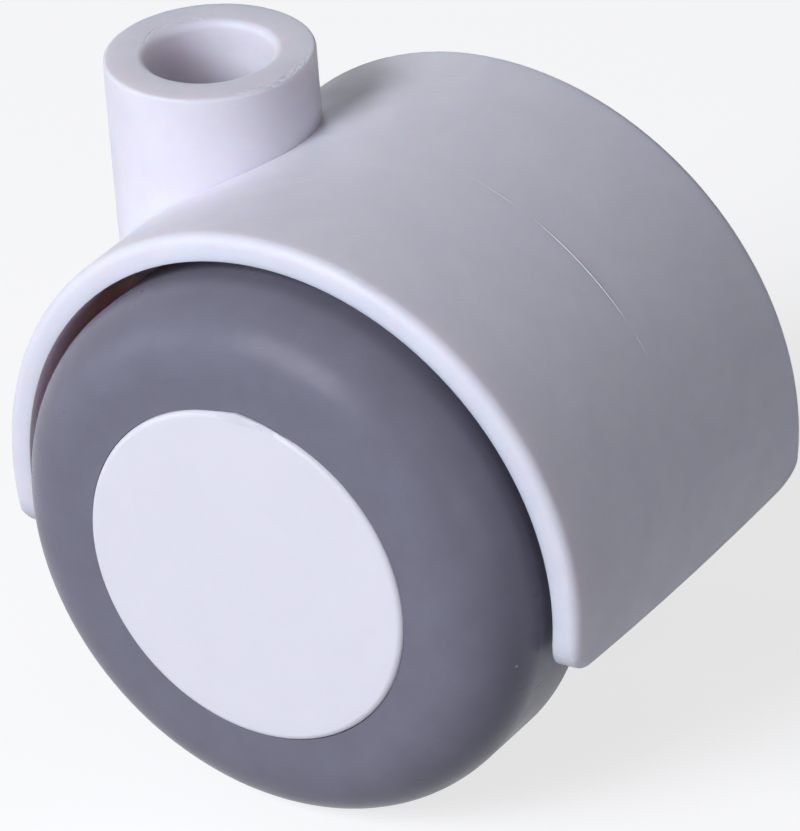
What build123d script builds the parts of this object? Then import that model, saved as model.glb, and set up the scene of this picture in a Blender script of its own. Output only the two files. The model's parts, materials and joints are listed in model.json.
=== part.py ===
from build123d import *
import os

# Twin wheel castor with a hooded housing and a plain stem socket.
# Millimetres. +Z is up along the stem, +Y along the axle, and the axle trails the stem towards +X.
# The part's origin is the centre of the socket's mouth.
# Every piece is first built about the axle line, with the axle's middle at the origin.

# Stem socket
stem_r = 5.5
stem_depth = 32.0
mouth_round = 0.75
socket_r = 9.15
socket_floor = 2.4
socket_rim_round = 0.35
socket_height = 34.1
stem_trail = 17.2

# Wheels
wheel_r = 25.0
wheel_width = 15.2
wheel_side_gap = 0.65
tread_t = 5.0
tread_lip_t = 2.0
shoulder_round = 6.5
heel_round = 2.0
lock_height = 1.0
lock_width = 2.0

# Wheel cores
rim_wall = 2.0
groove_width = 3.0
cap_socket_wall = 2.0
core_web_t = 2.5
hub_r = 7.2
hub_set_back = 0.7
hub_depth = 4.5
hub_boss_height = 1.5
core_round = 0.4
core_ribs = 12
core_rib_t = 1.2
core_rib_set_back = 0.6

# Hub caps
cap_ledge = 2.6
cap_gap = 0.05
cap_proud = 0.35
cap_t = 1.6
cap_round = 0.5
skirt_t = 1.3
skirt_length = 3.2
snap_height = 0.25
snap_set_back = 0.9

# Axle and what runs on it
axle_r = 3.0
axle_chamfer = 0.5
axle_overhang = 0.6
running_gap = 0.04
end_float = 0.1
bush_wall = 1.2
bush_flange_t = 1.0
bush_flange_r = 5.6
washer_gap = 0.15
washer_t = 0.8
washer_r = 6.0
clip_t = 0.4
clip_r = 6.5
clip_root_r = 4.7
clip_rise = 0.9
clip_teeth = 6
clip_slot = 1.0

# Housing
hood_gap = 1.35
hood_wall = 2.35
hood_width = 37.7
hood_drop = 6.9
hood_corner_round = 3.0
hood_edge_round = 1.0
mid_web_t = 3.0
mid_web_lift = 0.8
boss_r = 8.6
boss_chamfer = 0.5
rib_t = 1.6
rib_set_back = 0.8
rib_angles = (26, 67)
bridge_width = 10.0
bridge_height = 8.0

# Distances from the middle plane, from the housing outwards
wheel_inner = socket_r + wheel_side_gap
wheel_outer = wheel_inner + wheel_width
hub_inner = wheel_inner + hub_set_back
boss_half = hub_inner - bush_flange_t - end_float
cap_seat = wheel_outer - tread_lip_t
hub_outer = cap_seat - hub_depth
clip_seat = hub_outer + end_float + washer_t
axle_half = clip_seat + clip_rise + clip_t + axle_overhang
hood_half = hood_width / 2

# Radii about the axle line
rim_r = wheel_r - tread_t
rim_inner_r = rim_r - rim_wall
cap_socket_r = rim_inner_r - groove_width - cap_socket_wall
cap_r = cap_socket_r + cap_ledge
bush_bore_r = axle_r + running_gap
bush_r = bush_bore_r + bush_wall
hood_inner_r = wheel_r + hood_gap
hood_outer_r = hood_inner_r + hood_wall
hood_middle_r = hood_inner_r + hood_wall / 2

# Reach of the tools that trim and cut, past everything they meet
reach = 2 * (hood_outer_r + socket_height)


def turned(corners):
    """Turn a closed outline about the axle line.

    A corner is (distance from the middle plane, radius, rounding), and a rounding of 0 is a sharp corner.
    """
    points = [(across, radius) for across, radius, rounding in corners]
    roundings = [rounding for across, radius, rounding in corners]
    outline = make_face(FilletPolyline(*points, radius=roundings, close=True))
    return revolve(Plane.YZ * outline, Axis.Y)


def snap_bead(rising):
    """Corners of the ridge that holds a cap in its core, towards the mid plane or away from it."""
    middle = cap_seat - skirt_length + snap_set_back
    ridge = [
        (middle - snap_height, cap_socket_r, 0),
        (middle, cap_socket_r + snap_height, 0),
        (middle + snap_height, cap_socket_r, 0),
    ]
    return ridge if rising else ridge[::-1]


def lock_ridge(rising):
    """Corners of the ring on the rim that keys the tread, towards the mid plane or away from it."""
    middle = (wheel_inner + cap_seat) / 2
    ridge = [
        (middle - lock_width / 2, rim_r, 0),
        (middle - lock_width / 2, rim_r + lock_height, 0),
        (middle + lock_width / 2, rim_r + lock_height, 0),
        (middle + lock_width / 2, rim_r, 0),
    ]
    return ridge if rising else ridge[::-1]


# Wheel core: hub, web, ring that holds the cap, front flange, rim and ribs, one moulding
def make_wheel_core():
    web_outer = hub_outer - hub_boss_height
    web_inner = web_outer - core_web_t
    flange_inner = cap_seat - rim_wall
    groove_inner_r = cap_socket_r + cap_socket_wall
    corners = [
        (hub_inner, bush_r, 0),
        (hub_outer, bush_r, 0),
        (hub_outer, hub_r, core_round),
        (web_outer, hub_r, core_round),
        (web_outer, cap_socket_r, core_round),
    ]
    corners += snap_bead(rising=True)
    corners += [
        (cap_seat, cap_socket_r, 0),
        (cap_seat, rim_r, 0),
    ]
    corners += lock_ridge(rising=False)
    corners += [
        (wheel_inner, rim_r, 0),
        (wheel_inner, rim_inner_r, core_round),
        (flange_inner, rim_inner_r, core_round),
        (flange_inner, groove_inner_r, core_round),
        (hub_inner, groove_inner_r, core_round),
        (hub_inner, cap_socket_r, core_round),
        (web_inner, cap_socket_r, core_round),
        (web_inner, hub_r, core_round),
        (hub_inner, hub_r, core_round),
    ]
    rib_inner = hub_inner + core_rib_set_back
    rib_corners = [
        (rib_inner, hub_r - core_round),
        (web_inner + core_web_t / 2, hub_r - core_round),
        (web_inner + core_web_t / 2, cap_socket_r + cap_socket_wall / 2),
        (flange_inner + rim_wall / 2, cap_socket_r + cap_socket_wall / 2),
        (flange_inner + rim_wall / 2, rim_inner_r + rim_wall / 2),
        (rib_inner, rim_inner_r + rim_wall / 2),
    ]
    rib = extrude(Plane.YZ * make_face(Polyline(*rib_corners, close=True)), core_rib_t / 2, both=True)
    return turned(corners) + [Rot(0, n * 360 / core_ribs, 0) * rib for n in range(core_ribs)]


# Tread: soft ring over the rim, with a lip over the front of the core
def make_tread():
    lip_r = cap_r + cap_gap
    corners = [
        (wheel_inner, rim_r, 0),
    ]
    corners += lock_ridge(rising=True)
    corners += [
        (cap_seat, rim_r, 0),
        (cap_seat, lip_r, 0),
        (wheel_outer, lip_r, 0),
        (wheel_outer, wheel_r, shoulder_round),
        (wheel_inner, wheel_r, heel_round),
    ]
    return turned(corners)


# Hub cap: a flat disc with a skirt that snaps into the core
def make_hub_cap():
    cap_outer = wheel_outer + cap_proud
    cap_inner = cap_outer - cap_t
    skirt_end = cap_seat - skirt_length
    skirt_inner_r = cap_socket_r - skirt_t
    corners = [
        (cap_inner, 0, 0),
        (cap_outer, 0, 0),
        (cap_outer, cap_r, cap_round),
        (cap_seat, cap_r, 0),
        (cap_seat, cap_socket_r, 0),
    ]
    corners += snap_bead(rising=False)
    corners += [
        (skirt_end, cap_socket_r, 0),
        (skirt_end, skirt_inner_r, 0),
        (cap_inner, skirt_inner_r, core_round),
    ]
    return turned(corners)


# Bush: flanged sleeve in the hub, which turns on the axle
def make_bush():
    flange_inner = hub_inner - bush_flange_t
    corners = [
        (flange_inner, bush_bore_r, 0),
        (hub_outer, bush_bore_r, 0),
        (hub_outer, bush_r, 0),
        (hub_inner, bush_r, 0),
        (hub_inner, bush_flange_r, 0),
        (flange_inner, bush_flange_r, 0),
    ]
    return turned(corners)


# Washer between the hub and the clip
def make_washer():
    washer_inner = clip_seat - washer_t
    washer_bore_r = axle_r + washer_gap
    corners = [
        (washer_inner, washer_bore_r, 0),
        (clip_seat, washer_bore_r, 0),
        (clip_seat, washer_r, 0),
        (washer_inner, washer_r, 0),
    ]
    return turned(corners)


# Push-on clip: a flat ring with teeth that rise to grip the axle
def make_clip():
    corners = [
        (clip_seat, clip_root_r, 0),
        (clip_seat + clip_rise, axle_r, 0),
        (clip_seat + clip_rise + clip_t, axle_r, 0),
        (clip_seat + clip_t, clip_root_r, 0),
        (clip_seat + clip_t, clip_r, 0),
        (clip_seat, clip_r, 0),
    ]
    clip = turned(corners)
    slot_depth = clip_seat + clip_rise + clip_t
    slot = Pos(clip_root_r / 2, slot_depth, 0) * Box(clip_root_r, 2 * (clip_rise + clip_t), clip_slot)
    for tooth in range(clip_teeth):
        clip -= Rot(0, tooth * 360 / clip_teeth, 0) * slot
    return clip


# Axle: a plain pin with chamfered ends
def make_axle():
    corners = [
        (-axle_half, 0, 0),
        (-axle_half, axle_r - axle_chamfer, 0),
        (-axle_half + axle_chamfer, axle_r, 0),
        (axle_half - axle_chamfer, axle_r, 0),
        (axle_half, axle_r - axle_chamfer, 0),
        (axle_half, 0, 0),
    ]
    return turned(corners)


# Housing: hood, socket, middle web, ribs and axle boss, one moulding
def make_hood():
    """Arch over both wheels, level along its lower edges, with rounded lower corners and a rounded outer edge."""
    ring = turned([
        (-hood_half, hood_inner_r, 0),
        (-hood_half, hood_outer_r, 0),
        (hood_half, hood_outer_r, 0),
        (hood_half, hood_inner_r, 0),
    ])
    corner_top = hood_corner_round - hood_drop
    edge = [
        (-reach, reach, 0),
        (-reach, corner_top, 0),
        (-hood_half, corner_top, 0),
        (-hood_half, -hood_drop, hood_corner_round),
        (hood_half, -hood_drop, hood_corner_round),
        (hood_half, corner_top, 0),
        (reach, corner_top, 0),
        (reach, reach, 0),
    ]
    points = [(across, up) for across, up, rounding in edge]
    roundings = [rounding for across, up, rounding in edge]
    kept = make_face(FilletPolyline(*points, radius=roundings, close=True))
    arch = ring & extrude(Plane.YZ * kept, reach, both=True)
    outside = arch.faces().filter_by(GeomType.CYLINDER).sort_by(SortBy.AREA)[-1]
    return fillet(outside.edges(), hood_edge_round)


def make_stem_bore():
    """Blind bore down from the socket's top, with a rounded mouth."""
    floor = socket_height - stem_depth
    mouth_r = stem_r + mouth_round
    with BuildLine() as side:
        Line((0, floor), (stem_r, floor))
        Line((stem_r, floor), (stem_r, socket_height - mouth_round))
        RadiusArc((stem_r, socket_height - mouth_round), (mouth_r, socket_height), mouth_round)
        Polyline((mouth_r, socket_height), (mouth_r, reach), (0, reach), (0, floor))
    return Pos(-stem_trail, 0, 0) * revolve(Plane.XZ * make_face(side.line), Axis.Z)


def make_housing():
    lower_edge = mid_web_lift - hood_drop
    inside = Rot(90, 0, 0) * Cylinder(hood_middle_r, reach)
    above_edge = Pos(0, 0, lower_edge + reach / 2) * Box(reach, reach, reach)

    socket_bottom = socket_height - stem_depth - socket_floor
    socket_length = socket_height - socket_bottom
    socket = Cylinder(socket_r, socket_length)
    socket = fillet(socket.edges().group_by(Axis.Z)[-1], socket_rim_round)
    socket = Pos(-stem_trail, 0, socket_bottom + socket_length / 2) * socket

    web = Rot(90, 0, 0) * Cylinder(hood_middle_r, mid_web_t) & above_edge

    boss = Rot(90, 0, 0) * Cylinder(boss_r, 2 * boss_half)
    boss = chamfer(boss.edges().filter_by(GeomType.CIRCLE), boss_chamfer)

    rib = Pos(hood_middle_r / 2, 0, 0) * Box(hood_middle_r, 2 * (boss_half - rib_set_back), rib_t)
    ribs = [Rot(0, -angle, 0) * rib for angle in rib_angles]

    bridge = Pos(-reach / 2, 0, socket_bottom + bridge_height / 2) * Box(reach, bridge_width, bridge_height)

    housing = make_hood() + web + (bridge & inside) + boss + ribs + socket
    return housing - make_stem_bore() - Rot(90, 0, 0) * Cylinder(axle_r, reach)


# Where the axle's middle lies when the socket's mouth is the origin
to_origin = Pos(stem_trail, 0, -socket_height)

pieces = {
    "housing": make_housing(),
    "axle": make_axle(),
}
left_pieces = {
    "wheel_core": make_wheel_core(),
    "tread": make_tread(),
    "hub_cap": make_hub_cap(),
    "bush": make_bush(),
    "washer": make_washer(),
    "clip": make_clip(),
}
for name, piece in left_pieces.items():
    pieces[name + "_left"] = piece
    pieces[name + "_right"] = mirror(piece, about=Plane.XZ)

os.makedirs("parts", exist_ok=True)
for name, piece in pieces.items():
    placed = to_origin * piece
    export_step(placed, f"parts/{name}.step")
    print(name, "volume", round(placed.volume, 1), "mm3")
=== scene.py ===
# %% [markdown]
# # A twin wheel castor
#
# A twin wheel castor is a small furniture wheel: a white moulded housing arches over two wheels that turn
# freely on one steel pin, and a plain socket takes the stem of the furniture's leg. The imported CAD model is
# the frame of this scene. Its solids are loaded first, in metres, with the centre of the socket's mouth at
# the origin, +Z up along the stem and the wheels trailing towards +X.

# %% Load the frame
import json
import math

import bmesh
import bpy
import numpy as np
from mathutils import Matrix, Vector

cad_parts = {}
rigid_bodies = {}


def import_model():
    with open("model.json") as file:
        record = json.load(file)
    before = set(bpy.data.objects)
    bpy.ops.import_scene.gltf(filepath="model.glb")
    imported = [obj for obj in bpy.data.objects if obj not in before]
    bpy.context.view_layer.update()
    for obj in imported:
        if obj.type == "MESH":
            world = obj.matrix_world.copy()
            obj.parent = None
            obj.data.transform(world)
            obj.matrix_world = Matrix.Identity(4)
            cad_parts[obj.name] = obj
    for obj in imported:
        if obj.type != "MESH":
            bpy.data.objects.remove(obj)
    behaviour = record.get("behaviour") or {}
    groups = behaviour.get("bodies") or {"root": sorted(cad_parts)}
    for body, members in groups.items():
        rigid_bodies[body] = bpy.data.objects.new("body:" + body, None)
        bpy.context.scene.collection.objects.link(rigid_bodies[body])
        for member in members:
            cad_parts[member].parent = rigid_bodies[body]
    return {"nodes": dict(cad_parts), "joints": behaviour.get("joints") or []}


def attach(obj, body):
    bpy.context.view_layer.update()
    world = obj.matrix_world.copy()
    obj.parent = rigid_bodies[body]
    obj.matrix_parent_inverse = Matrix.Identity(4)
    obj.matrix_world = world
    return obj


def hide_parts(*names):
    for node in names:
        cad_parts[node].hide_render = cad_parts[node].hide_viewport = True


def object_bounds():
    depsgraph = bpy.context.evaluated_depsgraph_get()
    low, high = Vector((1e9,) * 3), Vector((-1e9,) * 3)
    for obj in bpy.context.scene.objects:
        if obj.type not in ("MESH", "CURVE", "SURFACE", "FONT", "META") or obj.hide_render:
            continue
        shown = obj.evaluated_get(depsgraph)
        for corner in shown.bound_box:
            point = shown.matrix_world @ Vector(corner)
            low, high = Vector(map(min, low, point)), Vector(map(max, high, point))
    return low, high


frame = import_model()
cad_low, cad_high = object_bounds()
nodes = frame["nodes"]

# %% [markdown]
# ## The camera
#
# The photograph was taken with a long lens from a little above the castor, in front of it and to its right.
# Its place was worked out from the rims, the cap and the socket, whose real shapes are circles, so the
# camera is placed about the middle of the axle by two angles, a distance and a small roll.

# %% Place the camera
MM = 0.001
axle_middle = np.array(frame["joints"][0]["pos_m"])

view_round, view_up, view_roll = (math.radians(angle) for angle in (34.547, 29.704, -4.314))
view_distance = 649.34 * MM
view_aside, view_above = -0.479 * MM, 2.229 * MM
picture_long_side = 831
focal_pixels = 7526.0


def camera_axes(round_, up, roll):
    """Right, up and backward directions of a camera that looks at the axle from these angles."""
    back = np.array([math.sin(round_) * math.cos(up), -math.cos(round_) * math.cos(up), math.sin(up)])
    right = np.array([math.cos(round_), math.sin(round_), 0.0])
    above = np.cross(back, right)
    return (math.cos(roll) * right + math.sin(roll) * above,
            -math.sin(roll) * right + math.cos(roll) * above,
            back)


right_way, up_way, back_way = camera_axes(view_round, view_up, view_roll)
camera_place = axle_middle + view_aside * right_way + view_above * up_way + view_distance * back_way

lens = bpy.data.cameras.new("camera")
lens.sensor_width = 36.0
lens.lens = focal_pixels * lens.sensor_width / picture_long_side
lens.clip_start, lens.clip_end = 0.05, 20.0
camera = bpy.data.objects.new("camera", lens)
bpy.context.scene.collection.objects.link(camera)
camera.matrix_world = Matrix.Translation(camera_place) @ Matrix(
    np.column_stack([right_way, up_way, back_way]).tolist()).to_4x4()
bpy.context.scene.camera = camera
print("camera at", np.round(camera_place / MM, 1), "mm, lens", round(lens.lens, 1), "mm")

# %% [markdown]
# ## Helpers for materials
#
# Colours are written as they look on a screen, in sRGB hex, and one function turns them to the linear
# values that Blender calculates with. Another adds a node, sets it and joins it to other nodes.

# %% Colour and node helpers
bpy.context.scene.view_settings.view_transform = "Standard"


def colour(hex_code):
    """Linear red, green, blue and alpha of an sRGB hex colour: a power curve with a short straight foot."""
    screen = np.array([int(hex_code[i:i + 2], 16) for i in (1, 3, 5)]) / 255
    linear = np.where(screen <= 0.04045, screen / 12.92, ((screen + 0.055) / 1.055) ** 2.4)
    return (*linear.tolist(), 1.0)


def add(tree, kind, sockets=None, **settings):
    """Add one node. The settings are its properties. Each socket gets a value or another node's output."""
    made = tree.nodes.new("ShaderNode" + kind)
    for name, value in settings.items():
        setattr(made, name, value)
    for name, value in (sockets or {}).items():
        if isinstance(value, bpy.types.NodeSocket):
            tree.links.new(value, made.inputs[name])
        else:
            made.inputs[name].default_value = value
    return made


def new_material(name):
    """An empty node material, with its tree and the output that its shader goes to."""
    material = bpy.data.materials.new(name)
    material.use_nodes = True
    tree = material.node_tree
    tree.nodes.clear()
    return material, tree, tree.nodes.new("ShaderNodeOutputMaterial")


def per_metre(size_mm):
    """Scale of a pattern whose features are this many millimetres across, on coordinates in metres."""
    return 1 / (size_mm * MM)


# %% [markdown]
# ## Patterns that plastic and rubber share
#
# A moulded surface is never one flat colour. The melt leaves faint clouds some millimetres wide, handling
# leaves sparse light flecks, and the steel of the mould leaves a fine grain. They could be painted on a map,
# but a map has one size and seams. Here each is a noise or cell pattern in the piece's own coordinates, so
# its scale is a real size in millimetres and it covers every face. Real grain is a few hundredths of a
# millimetre wide, too fine to show, so it is drawn some tenths wide.

# %% Clouds, flecks and bumps
# Nearly all values of a noise lie between these two
noise_low, noise_high = 0.3, 0.7


def clouded(tree, clouds, spread, light, cloudy):
    """Two near colours in soft clouds, each full where the noise is this spread away from its middle."""
    amount = add(tree, "MapRange", {"Value": clouds, "From Min": 0.5 - spread, "From Max": 0.5 + spread})
    return add(tree, "Mix", {"Factor": amount.outputs[0], 6: colour(light), 7: colour(cloudy)},
               data_type="RGBA").outputs[2]


def flecked(tree, place, ground, fleck, size_mm, edge, core, channel, share):
    """Round flecks on a ground colour: the middles of a chosen share of the cells of a cell pattern."""
    cells = add(tree, "TexVoronoi", {"Vector": place, "Scale": per_metre(size_mm), "Randomness": 1.0})
    near = add(tree, "MapRange", {"Value": cells.outputs["Distance"], "From Min": edge, "From Max": core})
    lot = add(tree, "SeparateColor", {"Color": cells.outputs["Color"]})
    chosen = add(tree, "Math", {0: lot.outputs[channel], 1: 1 - share}, operation="GREATER_THAN")
    amount = add(tree, "Math", {0: near.outputs[0], 1: chosen.outputs[0]}, operation="MULTIPLY")
    return add(tree, "Mix", {"Factor": amount.outputs[0], 6: ground, 7: colour(fleck)},
               data_type="RGBA").outputs[2]


def bumped(tree, place, size_mm, depth_mm, detail, under=None):
    """Normal of a surface with bumps of this size and depth, on top of another normal where one is given."""
    height = add(tree, "TexNoise", {"Vector": place, "Scale": per_metre(size_mm), "Detail": detail})
    sockets = {"Height": height.outputs["Fac"], "Strength": 1.0, "Distance": depth_mm * MM}
    if under is not None:
        sockets["Normal"] = under
    return add(tree, "Bump", sockets).outputs[0]


# %% [markdown]
# ## White mouldings
#
# Housing, caps and wheel cores are white mouldings. Nylon and polypropylene let light in a few millimetres
# deep and out again, redder than it went in, which makes the walls of the socket's bore glow warm. A plain
# white surface shows none of that, so the finish has some light travel under the surface, by a real distance.

# %% White mouldings
# Solid plastics have about 1.5, but a worn satin face mirrors less
plastic_ior = 1.35
glow_mm = 2.8
glow_reach = (1.0, 0.6, 0.45)
wave_mm, wave_depth_mm = 7.0, 0.05


def moulded(name, light, cloudy, cloud_mm, fleck_mm, roughness, grain_mm, grain_depth_mm, glow):
    """Satin moulded plastic: two near whites in clouds, light flecks, fine grain and long low waves."""
    material, tree, output = new_material(name)
    place = add(tree, "TexCoord").outputs["Object"]
    clouds = add(tree, "TexNoise", {"Vector": place, "Scale": per_metre(cloud_mm), "Detail": 4.0,
                                    "Roughness": 0.6, "Distortion": 0.6}).outputs["Fac"]
    ground = clouded(tree, clouds, spread=0.14, light=light, cloudy=cloudy)
    skin = flecked(tree, place, ground, "#F4F4F8", size_mm=fleck_mm, edge=0.05, core=0.03, channel="Red",
                   share=0.15)
    gloss = add(tree, "MapRange", {"Value": clouds, "From Min": noise_low, "From Max": noise_high,
                                   "To Min": roughness - 0.05, "To Max": roughness + 0.06})
    waves = bumped(tree, place, wave_mm, wave_depth_mm, detail=1.0)
    shader = add(tree, "BsdfPrincipled", {
        "Base Color": skin,
        "Roughness": gloss.outputs[0],
        "Normal": bumped(tree, place, grain_mm, grain_depth_mm, detail=2.0, under=waves),
        "IOR": plastic_ior,
        "Subsurface Weight": glow,
        "Subsurface Radius": glow_reach,
        "Subsurface Scale": glow_mm * MM})
    tree.links.new(shader.outputs["BSDF"], output.inputs["Surface"])
    return material


# Nylon 6, injection moulded: satin, slightly see-through at thin edges, with clouds from the flow of the melt
housing_nylon = moulded("housing nylon, injection moulded", "#EDEBF3", "#EAE7F0", cloud_mm=4.5, fleck_mm=2.4,
                        roughness=0.46, grain_mm=0.35, grain_depth_mm=0.006, glow=0.65)
# The same nylon where it is a thin torn sheet, too thin to glow from inside; its paler colour is a painted
# highlight that makes the ridge read light
flash_nylon_painted_highlight = moulded("flash nylon, thin and torn, painted highlight", "#F4F3FA", "#EAE8F2", cloud_mm=1.5, fleck_mm=1.2,
                      roughness=0.5, grain_mm=0.2, grain_depth_mm=0.004, glow=0.0)
# Polypropylene, moulded against a polished plate: smoother and more even than the housing
cap_polypropylene = moulded("cap polypropylene, polished mould", "#EDEBF0", "#EBE9EE", cloud_mm=9.0,
                            fleck_mm=4.5, roughness=0.36, grain_mm=0.5, grain_depth_mm=0.002, glow=0.2)
# Polypropylene, moulded: the hidden wheel core has a plainer, rougher face
core_polypropylene = moulded("core polypropylene, injection moulded", "#E4E4EC", "#DCDCE6", cloud_mm=5.0,
                             fleck_mm=3.0, roughness=0.5, grain_mm=0.4, grain_depth_mm=0.008, glow=0.1)
print("white mouldings made")

# %% [markdown]
# ## Soft tread
#
# The tread is a grey thermoplastic rubber moulded over the wheel. It is softer than the housing and picks up
# dust, so light flecks lie on a slightly cloudy grey, and its satin skin shows one small soft highlight. Its
# low index of refraction keeps the white surroundings from veiling the grey where it turns away.

# %% Tread material
# Solid rubber has about 1.5, but a dusty satin skin mirrors much less
tread_ior = 1.23


def tread_rubber():
    """Satin grey rubber: two greys in clouds, dust flecks and a fine grain."""
    material, tree, output = new_material("soft tread, thermoplastic rubber, moulded")
    place = add(tree, "TexCoord").outputs["Object"]
    clouds = add(tree, "TexNoise", {"Vector": place, "Scale": per_metre(5.0), "Detail": 5.0,
                                    "Roughness": 0.6}).outputs["Fac"]
    ground = clouded(tree, clouds, spread=0.15, light="#7B7A88", cloudy="#757481")
    skin = flecked(tree, place, ground, "#A9A8B6", size_mm=2.6, edge=0.07, core=0.04, channel="Green",
                   share=0.2)
    gloss = add(tree, "MapRange", {"Value": clouds, "From Min": noise_low, "From Max": noise_high,
                                   "To Min": 0.25, "To Max": 0.35})
    shader = add(tree, "BsdfPrincipled", {
        "Base Color": skin,
        "Roughness": gloss.outputs[0],
        "Normal": bumped(tree, place, size_mm=0.4, depth_mm=0.008, detail=2.0),
        "IOR": tread_ior})
    tree.links.new(shader.outputs["BSDF"], output.inputs["Surface"])
    return material


# Thermoplastic rubber, moulded over the core: an even satin grey with a soft highlight
soft_tread = tread_rubber()
print("tread rubber made")

# %% [markdown]
# ## Metal and bearing parts
#
# Inside the wheels a zinc-plated pin carries slippery acetal bushes and steel washers, and pressed spring
# clips hold them on. They are hidden in this view, but each has the marks of how it was made: fine turning
# rings about the axle, drawn from the distance along the axle and from it, as the tool draws them. Real rings
# are finer still, so these are drawn as coarse as they need to show.

# %% Metal and acetal
ring_depth = 0.01 * MM


def turned_finish(name, light, dark, ring_mm, roughness, metallic):
    """Turned surface: fine rings about the axle, a noise of the distances along the axle and from it."""
    material, tree, output = new_material(name)
    place = add(tree, "TexCoord").outputs["Object"]
    about = add(tree, "VectorMath", {0: place, 1: tuple(axle_middle)}, operation="SUBTRACT")
    parts = add(tree, "SeparateXYZ", {0: about.outputs[0]})
    flat = add(tree, "CombineXYZ", {0: parts.outputs[0], 2: parts.outputs[2]})
    out = add(tree, "VectorMath", {0: flat.outputs[0]}, operation="LENGTH")
    across = add(tree, "CombineXYZ", {0: parts.outputs[1], 1: out.outputs["Value"]})
    rings = add(tree, "TexNoise", {"Vector": across.outputs[0], "Scale": per_metre(ring_mm), "Detail": 2.0})
    tone = add(tree, "Mix", {"Factor": rings.outputs["Fac"], 6: colour(light), 7: colour(dark)},
               data_type="RGBA")
    bump = add(tree, "Bump", {"Height": rings.outputs["Fac"], "Strength": 1.0, "Distance": ring_depth})
    shader = add(tree, "BsdfPrincipled", {
        "Base Color": tone.outputs[2], "Roughness": roughness, "Metallic": metallic,
        "Normal": bump.outputs[0]})
    tree.links.new(shader.outputs["BSDF"], output.inputs["Surface"])
    return material


# Acetal, turned: off-white and slippery
acetal = turned_finish("acetal, turned", "#E8E8E2", "#DEDED6", ring_mm=0.3, roughness=0.35, metallic=0.0)
# Steel, turned and zinc plated: pale and slightly blue
zinc_steel = turned_finish("zinc-plated steel, turned", "#C9CBD0", "#B4B6BC",
                           ring_mm=0.2, roughness=0.3, metallic=1.0)
# Spring steel, pressed and oiled: darker
spring_steel = turned_finish("spring steel, pressed", "#A2A2A8", "#8A8A92",
                             ring_mm=0.8, roughness=0.38, metallic=1.0)
print("metal and acetal made")

# %% [markdown]
# ## Closed solids from a grid
#
# The tools and the thin pieces that follow are all closed solids computed as arrays of points. One function
# turns points and faces into a mesh whose faces look outwards. Another makes a block from a surface, a grid
# of points, by flattening a second copy of the grid to one level and walling up the gap between the two.

# %% Mesh helpers


def closed_mesh(name, points, faces):
    """Mesh of these points and faces, with every face turned outwards."""
    mesh = bpy.data.meshes.new(name)
    mesh.from_pydata(points.tolist(), [], faces)
    work = bmesh.new()
    work.from_mesh(mesh)
    bmesh.ops.recalc_face_normals(work, faces=work.faces)
    work.to_mesh(mesh)
    work.free()
    return mesh


def block(name, surface, level):
    """Block between a surface, a grid of points, and the same grid flattened to one level."""
    flat = surface.copy()
    flat[..., 2] = level
    rows, columns, _ = surface.shape
    number = np.arange(rows * columns).reshape(rows, columns)
    squares = np.stack([number[:-1, :-1], number[1:, :-1], number[1:, 1:], number[:-1, 1:]], axis=-1)
    squares = squares.reshape(-1, 4)
    rim = np.concatenate([number[:-1, 0], number[-1, :-1], number[:0:-1, -1], number[0, :0:-1]])
    after = np.roll(rim, -1)
    below = rows * columns
    walls = np.stack([rim, rim + below, after + below, after], axis=-1)
    points = np.concatenate([surface.reshape(-1, 3), flat.reshape(-1, 3)])
    faces = np.concatenate([squares, squares + below, walls]).tolist()
    return bpy.data.objects.new(name, closed_mesh(name, points, faces))


# %% [markdown]
# ## The hood's lower edges
#
# On the real moulding the hood's two lower edges aren't straight: each bows down in the middle and ends in
# big round corners. Such an edge could be modelled afresh with the whole housing, or sculpted. Here it is cut
# by one curved tool for each end, because the tool is then the edge itself: one height for each place across
# and outwards, given by a formula.

# %% Edge tools
hood_half = 18.85 * MM
hood_outer_r = 28.7 * MM
edge_drop = 6.9 * MM
edge_bow = 0.72 * MM
corner_round = 3.2 * MM
edge_round = 0.75 * MM
edge_foot = 9.5 * MM
edge_inside, edge_outside = 24.6 * MM, 30.0 * MM
face_from, face_to = 26.9 * MM, 28.75 * MM
edge_overlap = 1.02


def edge_height(out, across):
    """Height of the lower edge above the axle.

    A parabola across, lowest in the middle, plus a quarter circle that lifts each corner and another that
    lifts the last stretch before the outer face.
    """
    bow = -edge_drop + edge_bow * (across / hood_half) ** 2
    into_corner = np.clip(np.abs(across) - (hood_half - corner_round), 0, corner_round)
    level = bow + corner_round - np.sqrt(corner_round ** 2 - into_corner ** 2)
    face = np.sqrt(hood_outer_r ** 2 - level ** 2)
    into_face = np.clip(np.abs(out) - (face - edge_round), 0, edge_round)
    return level + edge_round - np.sqrt(edge_round ** 2 - into_face ** 2)


def edge_tool(name, side):
    """Block under the lower edge's surface, at the trailing end (side 1) or the socket's end (side -1).

    Its rows crowd towards the outer face and its columns towards the corners, where the edge turns fastest.
    """
    acrosses = edge_overlap * hood_half * np.sin(np.linspace(-math.pi / 2, math.pi / 2, 81))
    outs = side * np.concatenate([[edge_inside], np.linspace(face_from, face_to, 22), [edge_outside]])
    out, across = np.meshgrid(outs, acrosses, indexing="ij")
    surface = np.stack([out, across, edge_height(out, across)], axis=-1) + axle_middle
    return block(name, surface, axle_middle[2] - edge_foot)


edge_tools = [edge_tool("trailing edge tool", 1), edge_tool("socket edge tool", -1)]
print("edge tools made, lowest at", round(float(edge_height(0.0, 0.0)) / MM, 2), "mm from the axle's height")

# %% [markdown]
# ## The torn rim
#
# The socket's face is torn in two places, at the rim next to the hood and at the mouth opposite. Such wear
# could be a bump in the finish, but then the outline would stay perfect. Two uneven tools take it out of the
# face instead. The depth is a product of two irregular waves that cross each other, so it has no pattern.

# %% Torn tools
tool_top = 1.0 * MM
skim = 0.02 * MM
torn_gain, torn_contrast = 2.2, 1.5


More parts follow.
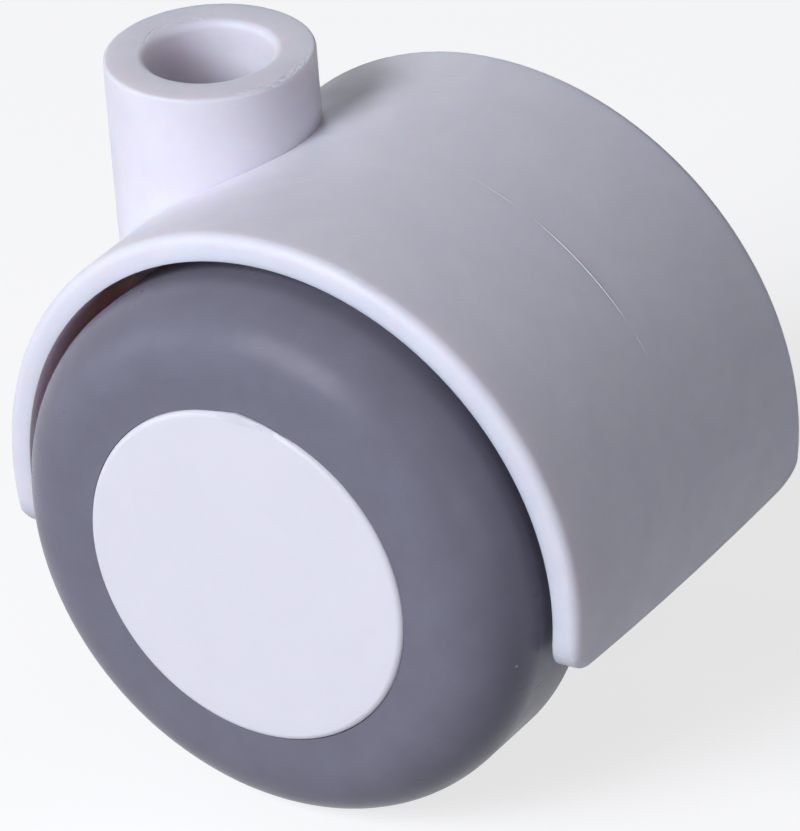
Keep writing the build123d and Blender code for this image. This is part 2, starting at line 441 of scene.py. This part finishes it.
def uneven(along, seed):
    """Smooth irregular value from 0 to 1: the mean of four sine waves whose lengths never fall in step."""
    pitches_and_turns = ((1.0, 1.7), (2.3, 2.9), (4.1, 0.6), (7.7, 4.3))
    waves = [np.sin(along * pitch + seed * turn) for pitch, turn in pitches_and_turns]
    return 0.5 + 0.5 * np.mean(waves, axis=0)


def torn_tool(name, start, end, inner, outer, depth, seed):
    """Block over a torn stretch of the socket's top face, between two angles about the stem and two radii.

    Its underside starts a hair above the face and dips by the depth times a sine fade at its ends, a sine
    fade at its sides and a power of the roughness, so it cuts only where the roughness is high.
    """
    degrees, radii = np.meshgrid(np.linspace(start, end, 260), np.linspace(inner, outer, 26), indexing="ij")
    angles = np.radians(degrees)
    along_mm = angles * (inner + outer) / 2 / MM
    out_mm = radii / MM
    end_fade = np.sin(math.pi * (degrees - start) / (end - start)) ** 0.5
    side_fade = np.sin(math.pi * (radii - inner) / (outer - inner)) ** 0.7
    rough = uneven(along_mm * 1.3 + out_mm * 4.6, seed) * uneven(along_mm * 2.1 - out_mm * 3.7, seed + 1)
    height = skim - depth * end_fade * side_fade * torn_gain * rough ** torn_contrast
    return block(name, np.stack([radii * np.cos(angles), radii * np.sin(angles), height], axis=-1), tool_top)


torn_tools = [
    torn_tool("torn rim tool", -44.0, 18.0, 8.1 * MM, 9.6 * MM, depth=0.25 * MM, seed=1.0),
    torn_tool("torn mouth tool", 115.0, 200.0, 5.6 * MM, 7.1 * MM, depth=0.18 * MM, seed=2.0),
]
print("torn tools made")

# %% [markdown]
# ## The dressed housing
#
# The tools cut a copy of the housing's mesh, which then stands for the housing. It could be cut face by face,
# but Boolean modifiers find every crossing by themselves. The copy's points are joined first, since a cut
# needs a closed skin, and the cut mesh gets crisp edges and normals weighted by face area, so that long flat
# faces stay flat beside narrow rounded ones.

# %% Cut the housing
weld_distance = 0.0005 * MM
crisp_angle = math.radians(25)


def welded_copy(node, name):
    """Copy of a solid's mesh, with points that lie on each other joined and without its stored normals."""
    mesh = node.data.copy()
    mesh.name = name
    mesh.attributes.remove(mesh.attributes["custom_normal"])
    work = bmesh.new()
    work.from_mesh(mesh)
    bmesh.ops.remove_doubles(work, verts=work.verts, dist=weld_distance)
    work.to_mesh(mesh)
    work.free()
    return bpy.data.objects.new(name, mesh)


def cut(piece, tools):
    """The piece's mesh with every tool taken away from it."""
    scene_objects = bpy.context.scene.collection.objects
    for thing in (piece, *tools):
        scene_objects.link(thing)
    for tool in tools:
        step = piece.modifiers.new(tool.name, "BOOLEAN")
        step.operation = "DIFFERENCE"
        step.solver = "EXACT"
        step.object = tool
    bpy.context.view_layer.update()
    mesh = bpy.data.meshes.new_from_object(piece.evaluated_get(bpy.context.evaluated_depsgraph_get()))
    for thing in (piece, *tools):
        bpy.data.objects.remove(thing)
    return mesh


trimmed = cut(welded_copy(nodes["housing"], "housing to trim"), edge_tools + torn_tools)
trimmed.name = "housing_dressed"
trimmed.shade_smooth()
trimmed.set_sharp_from_angle(angle=crisp_angle)
trimmed.materials.clear()
trimmed.materials.append(housing_nylon)
housing_dressed = bpy.data.objects.new("housing_dressed", trimmed)
bpy.context.scene.collection.objects.link(housing_dressed)
weighting = housing_dressed.modifiers.new("face weighted normals", "WEIGHTED_NORMAL")
weighting.keep_sharp = True
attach(housing_dressed, "chassis")
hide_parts("housing")
print("trimmed housing:", len(trimmed.polygons), "faces")

# %% [markdown]
# ## Flash
#
# Where the steel parts of a mould meet, the melt creeps between them and leaves flash: a thin broken line
# over the hood, and a small lip at the edge of the right cap. Both could be painted on, but they catch the
# light as edges do, so each is a very thin solid: a closed outline of a few points, carried along an arc
# about the axle.

# %% Swept solids
flash_crisp_angle = math.radians(50)


def swept(name, loops, material, body):
    """Closed solid with flat ends through a row of outlines, an array of steps by corners by three."""
    steps, corners, _ = loops.shape
    number = np.arange(steps * corners).reshape(steps, corners)
    after = np.roll(number, -1, axis=1)
    sides = np.stack([number[:-1], after[:-1], after[1:], number[1:]], axis=-1).reshape(-1, 4)
    faces = sides.tolist() + [number[0, ::-1].tolist(), number[-1].tolist()]
    mesh = closed_mesh(name, loops.reshape(-1, 3), faces)
    mesh.shade_smooth()
    mesh.set_sharp_from_angle(angle=flash_crisp_angle)
    mesh.materials.append(material)
    piece = bpy.data.objects.new(name, mesh)
    bpy.context.scene.collection.objects.link(piece)
    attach(piece, body)
    print(name, "has", len(mesh.polygons), "faces")
    return piece


def about_axle(angles, radii, across):
    """Points at angles from straight up towards the trailing end, at distances from the axle and across."""
    return np.stack([radii * np.sin(angles), across, radii * np.cos(angles)], axis=-1) + axle_middle


# %% [markdown]
# ### Parting flash over the hood
#
# The two halves of the mould met along the middle of the hood. The line is a ridge a few hundredths of a
# millimetre high, broken in four, with uneven height. Its foot lies a little under the face, so no gap shows.

# %% Parting flash
flash_across = 0.55 * MM
flash_half_width = 0.12 * MM
flash_sunk = 0.04 * MM
flash_steps, flash_corners = 60, 7


def parting_flash(name, start, end, height):
    """Low ridge along the hood, a squashed half circle in section, which fades in and out along its arc."""
    along = np.linspace(0, 1, flash_steps)[:, None]
    fade = np.sin(math.pi * along) ** 0.5
    angles = np.radians(start + (end - start) * along)
    round_ = np.linspace(0, math.pi, flash_corners)[None, :]
    lift = height * fade * (0.6 + 0.4 * uneven(along * (end - start), start))
    radii = hood_outer_r - flash_sunk + (flash_sunk + lift) * np.sin(round_)
    across = flash_across + flash_half_width * (0.3 + 0.7 * fade) * np.cos(round_)
    loops = about_axle(np.broadcast_to(angles, radii.shape), radii, across)
    return swept(name, loops, flash_nylon_painted_highlight, "chassis")


# The flash's paler colour is a painted highlight, added to the light that the ridge's edges catch
parting_flash("hood_flash_socket", -17.5, -10.0, height=0.025 * MM)
parting_flash("hood_flash_upper", 16.5, 26.5, height=0.02 * MM)
parting_flash("hood_flash_middle", 30.0, 53.5, height=0.045 * MM)
parting_flash("hood_flash_lower", 56.0, 60.5, height=0.02 * MM)

# %% [markdown]
# ### Lip on the right cap
#
# A thin sheet of the cap's plastic stands out past its edge at the top, over the tread. It grows slowly,
# comes to a corner and falls away in a straight line. Its root lies in the cap's rounded edge, so at both
# ends it sinks into the cap.

# %% Cap lip
cap_r = 15.6 * MM
cap_face = -25.35 * MM
tread_face = -25.0 * MM
lip_reach = 0.45 * MM
lip_root = 0.52 * MM
lip_lift = 0.03 * MM
lip_inset = 0.06 * MM
lip_foot_in, lip_foot_up, lip_top_in = 0.04 * MM, 0.06 * MM, 0.05 * MM
lip_thin, lip_swell = 0.1 * MM, 0.2 * MM
lip_steps = 81
lip_start, lip_peak, lip_end = -17.0, 2.0, 23.0


def cap_lip(name):
    """Sheet with five corners in section. Its reach grows as a square to the peak, then falls straight."""
    degrees = np.linspace(lip_start, lip_end, lip_steps)[:, None]
    rise = np.clip((degrees - lip_start) / (lip_peak - lip_start), 0, 1) ** 2
    fall = np.clip((lip_end - degrees) / (lip_end - lip_peak), 0, 1)
    size = np.minimum(rise, fall)
    level = np.ones_like(size)
    root = (cap_r - lip_root) * level
    tip = cap_r - lip_inset + lip_reach * size
    foot = (tread_face - lip_lift) * level
    top = foot - lip_thin - lip_swell * size
    radii = np.concatenate([root, tip - lip_foot_in, tip, tip - lip_top_in, root], axis=1)
    across = np.concatenate([foot, foot, foot - lip_foot_up, top, cap_face * level], axis=1)
    loops = about_axle(np.broadcast_to(np.radians(degrees), radii.shape), radii, across)
    return swept(name, loops, cap_polypropylene, "wheel_right")


cap_lip("cap_lip_right")

# %% [markdown]
# ## Dressing the solids
#
# Most CAD solids have the right form already, so they aren't remodelled and only get their material. One
# table names the finish of each, since left and right share theirs.

# %% Give each solid its finish
finishes = {"housing": housing_nylon, "axle": zinc_steel}
for side in ("left", "right"):
    finishes["wheel_core_" + side] = core_polypropylene
    finishes["tread_" + side] = soft_tread
    finishes["hub_cap_" + side] = cap_polypropylene
    finishes["bush_" + side] = acetal
    finishes["washer_" + side] = zinc_steel
    finishes["clip_" + side] = spring_steel
for name, material in finishes.items():
    nodes[name].data.materials.clear()
    nodes[name].data.materials.append(material)
print("dressed", len(finishes), "solids")

# %% [markdown]
# ## Floor and surroundings
#
# The castor stands on plain white paper. What the camera sees of the paper is lifted to white, while the
# light that it throws back on the castor stays low, so the castor keeps its soft shadow and its shaded
# underside. The surroundings are white to the camera and in reflections, and give a little fill.

# %% Floor and world
floor_z = cad_low.z
floor_half = 4.0
paper_glow = 0.74
fill_level = 0.07
white = (1, 1, 1, 1)

corners = np.array([[-1, -1], [1, -1], [1, 1], [-1, 1]]) * floor_half
floor_mesh = bpy.data.meshes.new("floor")
floor_mesh.from_pydata(np.column_stack([corners, np.full(4, floor_z)]).tolist(), [], [(0, 1, 2, 3)])
floor = bpy.data.objects.new("floor", floor_mesh)
bpy.context.scene.collection.objects.link(floor)


def seen_directly(tree):
    """1 for rays seen straight or by way of gloss or glass, and 0 for light that falls on surfaces."""
    path = add(tree, "LightPath").outputs
    seen = add(tree, "Math", {0: path["Is Camera Ray"], 1: path["Is Glossy Ray"]}, operation="MAXIMUM")
    return add(tree, "Math", {0: seen.outputs[0], 1: path["Is Transmission Ray"]}, operation="MAXIMUM")


# White drawing paper: matt, with a glow that only the camera sees
paper, tree, output = new_material("white paper floor")
lift = add(tree, "Math", {0: seen_directly(tree).outputs[0], 1: paper_glow}, operation="MULTIPLY")
matt = add(tree, "BsdfDiffuse", {"Color": colour("#A0A0A0")})
glow = add(tree, "Emission", {"Color": white, "Strength": lift.outputs[0]})
both = add(tree, "AddShader", {0: matt.outputs[0], 1: glow.outputs[0]})
tree.links.new(both.outputs[0], output.inputs["Surface"])
floor_mesh.materials.append(paper)

world = bpy.data.worlds.new("studio")
world.use_nodes = True
bpy.context.scene.world = world
tree = world.node_tree
tree.nodes.clear()
level = add(tree, "MapRange", {"Value": seen_directly(tree).outputs[0], "To Min": fill_level, "To Max": 1.0})
sky = add(tree, "Background", {"Color": white, "Strength": level.outputs[0]})
output = tree.nodes.new("ShaderNodeOutputWorld")
tree.links.new(sky.outputs[0], output.inputs["Surface"])
print("floor at", round(floor_z / MM, 2), "mm")

# %% [markdown]
# ## Lamps
#
# Four soft boxes light the castor, as on a small product table: a key lamp in front and a little above, and
# three weaker ones low on the right, on the left and behind. Each faces the middle of the axle, and its size
# against its distance sets how soft its shadows are. All are slightly blue, the weak ones most.

# %% Soft boxes
lamp_distance = 1.2
lamp_size = 0.6
daylight = (0.96, 0.975, 1.07)
skylight = (0.9, 0.96, 1.15)


def softbox(name, round_degrees, up_degrees, watts, tint):
    """Square lamp that faces the axle, placed by angles round from the right wheel and up from the floor."""
    round_, up = math.radians(round_degrees), math.radians(up_degrees)
    away = Vector((math.sin(round_) * math.cos(up), -math.cos(round_) * math.cos(up), math.sin(up)))
    lamp = bpy.data.lights.new(name, "AREA")
    lamp.shape = "SQUARE"
    lamp.size = lamp_size
    lamp.energy = watts
    lamp.color = tint
    holder = bpy.data.objects.new(name, lamp)
    holder.rotation_mode = "QUATERNION"
    holder.rotation_quaternion = away.to_track_quat("Z", "Y")
    holder.location = Vector(axle_middle) + away * lamp_distance
    bpy.context.scene.collection.objects.link(holder)
    return lamp


lamps = [
    softbox("key", -15, 33.5, 12.1, daylight),
    softbox("right fill", 60, 5, 2.9, skylight),
    softbox("left fill", -60, 5, 2.7, skylight),
    softbox("back fill", -150, 5, 1.7, skylight),
]
print("lamps:", ", ".join(f"{lamp.name} {lamp.energy:.1f} W" for lamp in lamps))
